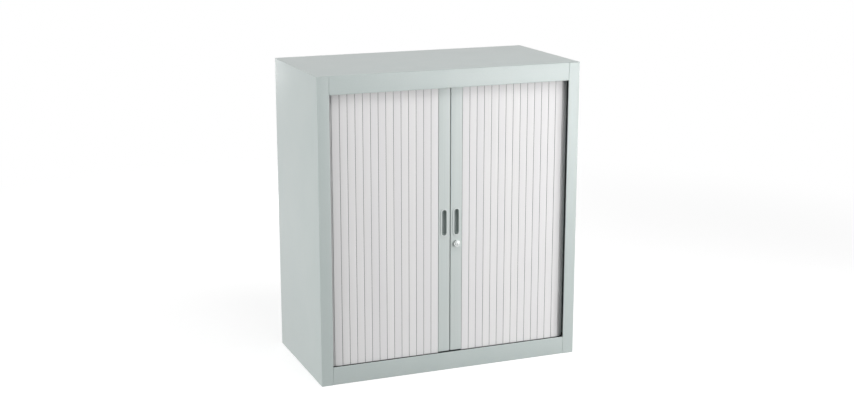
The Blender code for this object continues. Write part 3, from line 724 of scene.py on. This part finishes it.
def base_panel(paint):
    """Plinth fascia, floor, rear flange and foot returns between the stiles, and the floor's ends.

    Each is a folded sheet run along X.
    """
    hem_z = bottom_rail - sheet / 2
    floor_z = floor_height - sheet / 2
    full = [
        (back_y - foot_return, sheet / 2, 0),
        (back_mid, sheet / 2, bend_radius),
        (back_mid, floor_z, bend_radius),
        (hem_mid, floor_z, bend_radius),
        (hem_mid, hem_z, hem_step / 2),
        (front_mid, hem_z, hem_step / 2),
        (front_mid, sheet / 2, bend_radius),
        (front_y + foot_return, sheet / 2, 0),
    ]
    front_end = front_y + sheet + hem_step + bend_radius
    back_end = back_y - sheet - 2 * bend_radius
    corner = half_width - back_return - fit_gap
    rear = [*full[:3], (front_end, floor_z, 0)]
    feet = [(front_end, sheet / 2, 0), full[-1]]
    heels = [full[0], (back_end, sheet / 2, 0)]
    parts = [run_of(folded_outline(full), -rail_reach, rail_reach, "X")]
    parts += both_ends(folded_outline(rear), rail_reach, corner)
    parts += both_ends(folded_outline(feet), rail_reach, side_inner)
    for line in ([(front_end, floor_z, 0), (back_end, floor_z, 0)], heels):
        parts += both_ends(folded_outline(line), corner, side_inner)
    parts += seam_strips(2 * sheet, floor_height - sheet - fit_gap / 2)
    new_piece("base_skin", joined(parts), paint, *steel_shell, "base_panel")


def back_panel(paint):
    """The back, a sheet folded forward along both sides and run upright, with a thin skirt inside.

    The skirt is a rectangle run along X.
    """
    middle = back_y - sheet - fit_gap - sheet / 2
    edge = side_inner - sheet / 2
    right = [(edge, middle - back_panel_edge, 0), (edge, middle, bend_radius)]
    corners = right + mirrored(reversed(right), -1)
    panel = run_of(folded_outline(corners), floor_height + fit_gap, panel_top - bend_radius)
    near = middle - sheet / 2 - fit_gap
    low = floor_height + fit_gap / 2
    reach = side_inner - 2 * bend_radius
    skirt = run_of(rectangle(near - sheet / 2, near, low, low + skirt_height), -reach, reach, "X")
    part = joined([panel, skirt])
    new_piece("back_skin", part, paint, *steel_shell, "back_panel")


def track_line(steps=24):
    """The joint line from the left end to the right one, and its outward normals."""
    right = [(side_run_x, track_end_y), *arc((straight_end, corner_y), corner_radius, 0, -90, steps)]
    right = np.array(right)
    outward = np.array([(1, 0), *arc((0, 0), 1, 0, -90, steps)])
    left = right * (-1, 1)
    return np.concatenate([left, right[::-1]]), np.concatenate([outward * (-1, 1), outward[::-1]])


def track_part(low, upright):
    """A channel carried along the joint line, upright or turned over.

    Each point is the line's, plus the outward normal times the section's first number, at its second.
    """
    rim = track_half_width - track_tip_round
    lip = groove_half_width + track_tip_round
    tip = track_height - track_tip_round
    section = np.concatenate([
        [(-track_half_width, 0), (track_half_width, 0)],
        arc((rim, tip), track_tip_round, 0, 90, 3),
        arc((lip, tip), track_tip_round, 90, 180, 3),
        [(groove_half_width, track_floor), (-groove_half_width, track_floor)],
        arc((-lip, tip), track_tip_round, 0, 90, 3),
        arc((-rim, tip), track_tip_round, 90, 180, 3),
    ])
    heights = section[:, 1] if upright else track_height - section[:, 1]
    line, outward = track_line()
    flat = line[:, None, :] + outward[:, None, :] * section[None, :, :1]
    rises = np.broadcast_to(low + heights[None, :, None], flat.shape[:2] + (1,))
    points = np.concatenate([flat, rises], -1).reshape(-1, 3)
    count = len(section)
    faces = grid_faces(len(line), count) + end_caps(count, len(points))
    if upright:
        faces = [face[::-1] for face in faces]
    return points, faces


def tracks(plastic):
    """The bottom groove, and the same channel turned over for the top one."""
    for name, low, upright in (
        ("bottom_track", bottom_track_low, True),
        ("top_track", top_track_low, False),
    ):
        new_piece(name + "_run", track_part(low, upright), plastic, "carcass", "track_plastic", name)


def on_joint_line(distance):
    """A place on the right-hand joint line, by its distance along the line from the middle."""
    turn_length = corner_radius * math.pi / 2
    if distance <= straight_end:
        return np.array([distance, joint_y])
    if distance <= straight_end + turn_length:
        angle = (distance - straight_end) / corner_radius
        outward = np.array([math.sin(angle), -math.cos(angle)])
        return np.array([straight_end, corner_y]) + corner_radius * outward
    return np.array([side_run_x, corner_y + distance - straight_end - turn_length])


def bisected(test, low, high):
    """The number between low and high below which the test holds, found by halving."""
    for _ in range(60):
        middle = (low + high) / 2
        low, high = (middle, high) if test(middle) else (low, middle)
    return (low + high) / 2


def joint_chain(pitch, count):
    """Distances of the joints along the line, each one pitch from the last in a straight line."""
    chain = [bar_joint]
    for _ in range(count):
        here = on_joint_line(chain[-1])
        chain.append(bisected(
            lambda distance: np.linalg.norm(on_joint_line(distance) - here) < pitch,
            chain[-1],
            chain[-1] + 2 * pitch,
        ))
    return chain


def slat_pitch():
    """The pitch at which the slats reach from the lead bar to just past the corner."""
    goal = straight_end + corner_radius * math.pi / 2 + tail_lead
    most = 2 * (goal - bar_joint) / slats_each_side
    return bisected(lambda pitch: joint_chain(pitch, slats_each_side)[-1] < goal, 0, most)


def bead_outline(centre, plate_back, steps=20):
    """A neck that leans out of the back of a plate, and the bead at its end."""
    lean = neck_half_width * math.sqrt(2)
    spread = math.degrees(math.asin(neck_half_width / bead_radius))
    return np.concatenate([
        [(centre + lean - plate_back, plate_back)],
        arc((centre, 0), bead_radius, 135 - spread, 135 + spread - 360, steps),
        [(centre - lean - plate_back, plate_back)],
    ])


def slat_outline(pitch):
    """A slat's section: a face that falls with the square of u, a bead, ribs and a socket."""
    half = pitch / 2
    plate_back = slat_face - slat_plate
    edge_u = half - slat_groove / 2
    face_u = edge_u - slat_edge_round
    across = np.linspace(-face_u, face_u, 25)
    face = np.stack([across, slat_face - slat_crown * (across / half) ** 2], 1)
    low_v = face[-1, 1] - slat_edge_round
    parts = [face, arc((face_u, low_v), slat_edge_round, 80, 0, 5), [(edge_u, plate_back)]]
    parts.append(bead_outline(half, plate_back))
    for rib_u in (rib_place_share * pitch, -rib_place_share * pitch):
        low_u, high_u = rib_u - rib_thickness / 2, rib_u + rib_thickness / 2
        rib_v = plate_back - rib_depth
        parts.append([(high_u, plate_back), (high_u, rib_v), (low_u, rib_v), (low_u, plate_back)])
    root = math.degrees(math.asin(plate_back / socket_outer))
    parts.append(arc((-half, 0), socket_outer, root, -160, 24))
    parts.append(arc((-half, 0), socket_inner, -160, 75, 24))
    parts.append(arc((-face_u, low_v), slat_edge_round, 180, 100, 5))
    return np.concatenate(parts)


def painted_groove_shade_share(outline, pitch):
    """1 on a slat's edges, bead and socket, which lie between two faces and take the painted shade of
    the grooves, and 0 elsewhere.
    """
    across, height = outline.T
    near_joint = abs(across) > pitch / 2 - slat_groove / 2 - slat_edge_round * 0.8
    below_face = height < slat_face - slat_crown - slat_edge_round * 0.6
    return (near_joint & below_face).astype(np.float32)


def pocket_edges(chain):
    """Where each joint is when its door is open: a few slats stay whole, the rest close up."""
    whole = [joint + door_travel for joint in chain[:whole_slats]]
    first, last = chain[whole_slats] + door_travel, side_inner - pocket_inset
    return whole + np.linspace(first, last, slats_each_side + 1 - whole_slats).tolist()


def fold_into_pocket(piece, side, joint, start, end, open_start, open_end):
    """Works out the share and anchor by which a slat could be flattened along X, for its two joints to
    slide behind the stile, and gives the slat its own mesh.

    The share kept is the open width over the width at rest. The anchor is the place about which that
    share, with the door's travel added, carries the slat's start to its open place.
    """
    keep = (open_end - open_start) / (end - start)
    anchor = (open_start - door_travel - keep * start) / (1 - keep)
    side * anchor
    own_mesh(piece)


def leave_the_grooves(piece):
    """Works out how far a slat that stays whole would be shortened for its ends to clear both tracks
    at the corner, and gives the slat its own mesh.
    """
    lift = bottom_track_low + track_height + fit_gap - slat_low
    drop = slat_high - (top_track_low - fit_gap)
    shortening = (lift + drop) / (slat_high - slat_low)
    middle = slat_low + lift / shortening
    1 - shortening
    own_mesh(piece)


def joint_turns(chain):
    """The angle in degrees between the two pieces that meet at each joint: none on the front."""
    places = np.array([on_joint_line(distance) for distance in chain])
    along = np.diff(places, axis=0)
    headings = np.degrees(np.arctan2(along[:, 1], along[:, 0]))
    return np.append(np.diff(headings, prepend=0.0), 0.0)


def curtains(plastic):
    """Every slat of both doors, each straight between its two joints on the joint line.

    A point of a slat is the middle of its joints, plus u along the chord between them and v outwards.
    """
    pitch = slat_pitch()
    outline = slat_outline(pitch)
    painted_groove_mask = painted_groove_shade_share(outline, pitch)
    chain = joint_chain(pitch, slats_each_side + 1)
    # Painted groove shade at each joint: full where the joint lies straight, less where it turns open.
    shade = np.clip(1 - joint_turns(chain) / open_groove_turn_degrees, open_groove_painted_shade, 1)
    opened = pocket_edges(chain)
    tones = np.random.default_rng(7).random((2, slats_each_side + 1))
    for row, (side, word) in enumerate(sides):
        for number, (near, far) in enumerate(zip(chain, chain[1:])):
            start, end = on_joint_line(near), on_joint_line(far)
            along = unit(end - start)
            outward = np.array([along[1], -along[0]])
            flat = (start + end) / 2 + outline[:, :1] * along + outline[:, 1:] * outward
            flat = flat * (side, 1)
            part = run_of(flat, slat_low, slat_high)
            tail = number == slats_each_side
            node = f"{word}_tail_slat" if tail else f"{word}_slat_{number + 1:02d}"
            body = f"{word}_tail" if tail else f"{word}_shutter"
            piece = new_piece(f"{node}_run", part, plastic, body, "slat_plastic", node)
            mark(piece, "tone", np.full(len(part[0]), tones[row, number]))
            # The painted groove shade on each side of the slat, kept in its edge attribute.
            dark = painted_groove_mask * np.where(outline[:, 0] < 0, shade[number], shade[number + 1])
            mark(piece, "edge", np.tile(dark if signed_area(flat) > 0 else dark[::-1], 2))
            if number < whole_slats:
                leave_the_grooves(piece)
            elif not tail:
                edges = start[0], end[0], opened[number], opened[number + 1]
                fold_into_pocket(piece, side, f"{word}_shutter_slide", *edges)


def bar_outline():
    """A lead bar's section: a plate that ends in a bead, with two walls and lips behind it."""
    inner = meeting_gap / 2
    plate_back = bar_face - bar_plate
    edge_u = bar_joint - slat_groove / 2
    web_inner = bar_web_outer - bar_wall
    lip_v = bar_rear + bar_wall
    round_v = bar_face - bar_edge_round
    return np.concatenate([
        arc((inner + bar_edge_round, round_v), bar_edge_round, 180, 90, 6),
        arc((edge_u - bar_edge_round, round_v), bar_edge_round, 90, 0, 6),
        [(edge_u, plate_back)],
        bead_outline(bar_joint, plate_back),
        [
            (bar_web_outer, plate_back),
            (bar_web_outer, bar_rear),
            (bar_web_outer - bar_lip, bar_rear),
            (bar_web_outer - bar_lip, lip_v),
            (web_inner, lip_v),
            (web_inner, plate_back),
            (inner + bar_wall, plate_back),
            (inner + bar_wall, lip_v),
            (inner + bar_lip, lip_v),
            (inner + bar_lip, bar_rear),
            (inner, bar_rear),
        ],
    ])


def slot_ring(radius, half_straight, steps=24):
    """A slot's outline, its long way along the second axis: two half circles joined by straights."""
    return np.concatenate([
        arc((0, half_straight), radius, 0, 180, steps),
        arc((0, -half_straight), radius, 180, 360, steps),
    ])


def cutting_run(name, outline, low, high, place=Matrix.Identity(4)):
    """A closed shape to cut with: an outline run along Z, then moved to its place."""
    return linked(name, *moved(run_of(outline, low, high), place))


def lead_bars(coat):
    """Each bar is its section run upright, with holes for the pull, the hook and the lock cut out."""
    outline = bar_outline()
    reach = 2 * bar_plate
    for side, word in sides:
        node = f"{word}_lead_bar"
        low, high = (corner[2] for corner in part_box(node))
        flat = np.stack([side * outline[:, 0], joint_y - outline[:, 1]], 1)
        part = run_of(flat, low, high)
        hole = slot_ring(pull_body_radius + fit_gap, pull_straight)
        place = facing_front(side * bar_middle, bar_face, pull_height)
        cutters = [cutting_run("pull_hole", hole, -reach, reach, place)]
        if side > 0:
            rim = arc((0, 0), lock_body_radius + fit_gap, 0, 360, 64)[:-1]
            place = facing_front(bar_middle, bar_face, lock_height)
            cutters.append(cutting_run("lock_hole", rim, -reach, reach, place))
        near, far = sorted((0, side * (meeting_gap / 2 + 2 * bar_wall)))
        slot = rectangle(near, far, joint_y + hook_slot_front, joint_y + hook_slot_back)
        low, high = lock_height - hook_slot_below, lock_height + hook_slot_above
        cutters.append(cutting_run("hook_slot", slot, low, high))
        where = f"{word}_shutter", "powder_coated_steel", node
        new_piece(f"{node}_run", part, coat, *where, cutters=cutters)


def finger_pulls(plastic):
    """Cups with rounded ends: rings of slots whose half width and depth follow a rounded section."""
    mouth = pull_width / 2 - pull_rim_width
    back = bar_face + fit_gap
    front = back + pull_rim
    floor = front - pull_depth
    section = rounded([
        (pull_body_radius - pull_floor_run, floor - pull_wall, 0),
        (pull_body_radius, floor - pull_wall, pull_floor_round),
        (pull_body_radius, back, pull_back_round),
        (pull_width / 2, back, pull_back_round),
        (pull_width / 2, front, pull_front_round),
        (mouth, front, pull_mouth_round),
        (mouth, floor, pull_floor_round),
        (mouth - pull_floor_run, floor, 0),
    ], 7)
    slots = [slot_ring(radius, pull_straight) for radius, _ in section]
    count = len(slots[0])
    radius, depth = section.T
    points = np.column_stack([np.concatenate(slots), np.repeat(depth, count)])
    inside = (radius <= mouth + pull_margin) & (depth > floor - pull_margin)
    # A painted shadow line on the rim's outer edge, mixed part of the way to the cup's grey.
    rim_shadow_ring = radius > pull_width / 2 - pull_margin
    cup = np.repeat(inside + pull_rim_painted_shadow * rim_shadow_ring, count)
    faces = grid_faces(len(slots), count) + end_caps(count, len(points))
    for side, word in sides:
        part = moved((points, faces), facing_front(side * bar_middle, 0, pull_height))
        where = f"{word}_shutter", "finger_pull_plastic", f"{word}_finger_pull"
        mark(new_piece(f"{word}_pull_cup", part, plastic, *where, sharp=40), "cup", cup)


def lock_place():
    """Turns the lock's pieces, which are made about Z, to their axis on the right bar's face."""
    return facing_front(bar_middle, bar_face + fit_gap, lock_height)


def lock_barrel(plate):
    """A turned profile: a bezel with a rounded rim and a shallow ring in its face, and the body."""
    rim, ease = lock_bezel_round, lock_bezel_ease
    section = np.concatenate([
        arc((lock_bezel_radius - rim, lock_bezel_depth - rim), rim, 90, 0, 8),
        [(lock_bezel_radius, ease), (lock_bezel_radius - ease, 0)],
        [(lock_body_radius, 0), (lock_body_radius, -lock_body_length)],
        [(lock_bore_radius, -lock_body_length)],
        arc((lock_bore_radius + ease, lock_bezel_depth - 2 * ease), ease, 180, 120, 3),
        [(lock_bore_radius + lock_face_ring, lock_bezel_depth - lock_face_drop)],
        [(lock_bore_radius + rim, lock_bezel_depth)],
    ])
    part = moved(turned(section), lock_place())
    new_piece("lock_barrel", part, plate, "right_shutter", "nickel_plate", "lock_housing", sharp=25)


def plug_rings():
    """Rings of the plug, from back to front: a flange, a square tail and a round body.

    A square ring's radius at an angle is its half width over the larger of the cosine and the sine.
    """
    steps = 96
    angles = np.linspace(0, 2 * math.pi, steps, endpoint=False)
    squared = lock_tail_half_width / np.maximum(abs(np.cos(angles)), abs(np.sin(angles)))
    radius = lock_bore_radius - fit_gap
    tail_start = -lock_body_length - fit_gap
    tail_end = tail_start - lock_tail_length
    ease = lock_plug_ease
    rings = [
        (lock_tail_flange_radius - ease, tail_end - lock_tail_flange),
        (lock_tail_flange_radius, tail_end - lock_tail_flange + ease),
        (lock_tail_flange_radius, tail_end),
        (squared, tail_end),
        (squared, tail_start),
        (radius, tail_start),
        *arc((radius - ease, plug_front - ease), ease, 0, 90, 6),
    ]
    radii = np.stack([np.broadcast_to(ring_radius, steps) for ring_radius, _ in rings])
    points = rings_about_z(radii, np.array([[height] for _, height in rings]), steps)
    return points, grid_faces(len(rings), steps) + end_caps(steps, len(points))


def lock_plug(plate):
    """The plug's rings joined into one surface, with the key's slot and a ward cut into its face."""
    place = lock_place()
    clear = plug_front + cutter_overshoot
    key = slot_ring(key_slot_radius, key_slot_straight, 8)
    ward = rectangle(-key_ward_half_width, key_ward_half_width, key_ward_foot, key_ward_top)
    cutters = [
        cutting_run("key_slot", key, plug_front - key_slot_depth, clear, place),
        cutting_run("key_ward", ward, plug_front - key_ward_depth, clear, place),
    ]
    part, where = moved(plug_rings(), place), ("lock_rotor", "nickel_plate", "lock_plug")
    new_piece("lock_plug_turned", part, plate, *where, cutters=cutters)


def liner_rivets(paint):
    """Domed rivets that hold each liner, near its top and bottom and at mid height."""
    head = dome(rivet_radius, rivet_rise)
    for side, word in sides:
        low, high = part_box(f"{word}_liner")
        face_x = side * (max(abs(low[0]), abs(high[0])) - sheet)
        turn = Matrix.Rotation(-side * math.pi / 2, 4, "Y")
        rows = low[1] + rivet_inset, high[1] - rivet_inset
        heights = low[2] + rivet_inset, (low[2] + high[2]) / 2, high[2] - rivet_top_inset
        parts = [moved(head, Matrix.Translation((face_x, y, z)) @ turn) for z in heights for y in rows]
        new_piece(f"{word}_liner_rivets", joined(parts), paint, *steel_shell)


def dress_solids(materials):
    """Gives each solid that still shows the material of its slot."""
    slots = {entry["node"]: entry["material_slot"] for entry in frame["record"]["subparts"]}
    for name, solid in frame["nodes"].items():
        solid.data.materials.clear()
        solid.data.materials.append(materials[slots[name]])


# Floor: its half width, its colours, its own glow, and the distances between which it turns white.
floor_reach = 30.0
shown_floor_colour = (0.5, 0.5, 0.5, 1.0)
thrown_floor_colour = (0.3, 0.3, 0.3, 1.0)
near_floor_glow = 0.70
white_floor_distances = (1.6, 3.4)


def rays_that_show(nodes):
    """1 for rays from the camera and for those that gloss or glass sends on, and 0 for the rest."""
    camera_ray = nodes.node("ShaderNodeLightPath", output="Is Camera Ray")
    outputs = camera_ray.socket.node.outputs
    glossy_ray = Link(nodes, outputs["Is Glossy Ray"])
    transmitted_ray = Link(nodes, outputs["Is Transmission Ray"])
    return camera_ray.math("MAXIMUM", glossy_ray).math("MAXIMUM", transmitted_ray)


def floor_material():
    """A pale floor that shows the object's shadow near it and turns plain white with distance.

    To rays that carry light onto the object it is darker and matt, so that it throws back little.
    """
    made = bpy.data.materials.new("pale_floor")
    made.use_nodes = True
    floor = Nodes(made.node_tree)
    floor.tree.nodes.clear()
    place = floor.node("ShaderNodeTexCoord", output="Object")
    away = floor.node("ShaderNodeVectorMath", {"operation": "LENGTH"}, {0: place}, "Value")
    thrown = floor.node("ShaderNodeBsdfDiffuse", inputs={"Color": thrown_floor_colour})
    lit = floor.node("ShaderNodeBsdfDiffuse", inputs={"Color": shown_floor_colour})
    glow = floor.node("ShaderNodeEmission", inputs={"Strength": near_floor_glow})
    near = floor.node("ShaderNodeAddShader", inputs={0: lit, 1: glow})
    white = floor.node("ShaderNodeEmission", inputs={"Strength": 1.0})
    far = away.ramp(*white_floor_distances)
    shown = floor.node("ShaderNodeMixShader", inputs={0: far, 1: near, 2: white})
    whole = floor.node("ShaderNodeMixShader", inputs={0: rays_that_show(floor), 1: thrown, 2: shown})
    output = floor.tree.nodes.new("ShaderNodeOutputMaterial")
    floor.join(output.inputs["Surface"], whole)
    return made


def studio_floor():
    """One square in the plane of the object's feet."""
    corners = [(x, y, 0.0) for x, y in rectangle(-floor_reach, floor_reach, -floor_reach, floor_reach)]
    floor = linked("floor", corners, [[0, 1, 2, 3]])
    floor.data.materials.append(floor_material())


# Lamps: name, place, the point each faces, width, height and power. All are white.
lamps = (
    ("right_front", (2.0, -3.4, 0.45), (0.3, -0.2, 0.55), 1.3, 0.9, 51.0),
    ("right_close", (1.9, -1.1, 0.6), (0.3, -0.3, 0.6), 0.8, 0.8, 11.0),
    ("right_high", (1.9, -1.3, 2.2), (0.2, -0.2, 0.6), 0.9, 0.9, 13.0),
    ("high_front", (0.1, -1.2, 3.0), (0.0, -0.2, 0.6), 1.2, 0.8, 17.5),
    ("front", (-0.2, -3.4, 2.6), (0.0, -0.2, 0.6), 1.4, 1.0, 8.0),
    ("left_high", (-3.0, 0.2, 2.6), (-0.4, 0.0, 0.5), 1.6, 1.6, 18.0),
    ("left", (-3.4, -0.6, 0.5), (-0.4, 0.0, 0.5), 1.8, 0.95, 49.0),
    ("rear", (0.0, 3.4, 0.7), (0.0, 0.0, 0.5), 1.1, 0.6, 42.0),
)
world_strength = 0.20


def lights():
    """One rectangular lamp for each row of the list above."""
    for name, place, target, width, height, power in lamps:
        data = bpy.data.lights.new(name, "AREA")
        data.shape = "RECTANGLE"
        data.size = width
        data.size_y = height
        data.energy = power
        lamp = bpy.data.objects.new(name, data)
        lamp.location = place
        lamp.rotation_euler = (Vector(target) - Vector(place)).to_track_quat("-Z", "Y").to_euler()
        bpy.context.scene.collection.objects.link(lamp)


def surroundings():
    """An even pale world for light, which the camera and polished metal see as white."""
    world = bpy.data.worlds.new("studio")
    bpy.context.scene.world = world
    world.use_nodes = True
    sky = Nodes(world.node_tree)
    sky.tree.nodes.clear()
    white_colour = (1.0, 1.0, 1.0, 1.0)
    even = sky.node("ShaderNodeBackground", inputs={"Color": white_colour, "Strength": world_strength})
    white = sky.node("ShaderNodeBackground", inputs={"Color": white_colour, "Strength": 1.0})
    shown = sky.node("ShaderNodeMixShader", inputs={0: rays_that_show(sky), 1: even, 2: white})
    output = sky.tree.nodes.new("ShaderNodeOutputWorld")
    sky.join(output.inputs["Surface"], shown)


# Camera, fitted to seven corners of the cupboard in the photograph.
image_width_px = 854
sensor_width_mm = 36.0
camera_place = (-1.741, -4.385, 1.667)
camera_turn_degrees = 21.70
camera_tilt_degrees = 13.72
focal_length_px = 1414


def camera():
    """The camera of the photograph: its focal length in pixels becomes millimetres on the sensor."""
    data = bpy.data.cameras.new("photograph")
    data.sensor_width = sensor_width_mm
    data.lens = sensor_width_mm * focal_length_px / image_width_px
    made = bpy.data.objects.new("photograph", data)
    made.location = camera_place
    tilt, turn = math.radians(90 - camera_tilt_degrees), math.radians(-camera_turn_degrees)
    made.rotation_euler = Euler((tilt, 0, turn))
    bpy.context.scene.collection.objects.link(made)
    bpy.context.scene.camera = made


def main():
    """Dresses the solids, adds the redrawn pieces over them, and lights the room."""
    bpy.context.scene.view_settings.view_transform = "Standard"
    materials = {
        "powder_coated_steel": powder_coat(),
        "slat_plastic": slat_plastic(),
        "track_plastic": track_plastic(),
        "finger_pull_plastic": pull_plastic(),
        "nickel_plate": bright_plate(),
        "zinc_plated_steel": zinc_plate(),
    }
    camera()
    lights()
    surroundings()
    studio_floor()
    dress_solids(materials)
    for panel in (side_panels, top_panel, base_panel, back_panel):
        panel(materials["powder_coated_steel"])
    tracks(materials["track_plastic"])
    curtains(materials["slat_plastic"])
    lead_bars(bar_coat())
    finger_pulls(materials["finger_pull_plastic"])
    lock_barrel(materials["nickel_plate"])
    lock_plug(materials["nickel_plate"])
    liner_rivets(rivet_steel())


main()
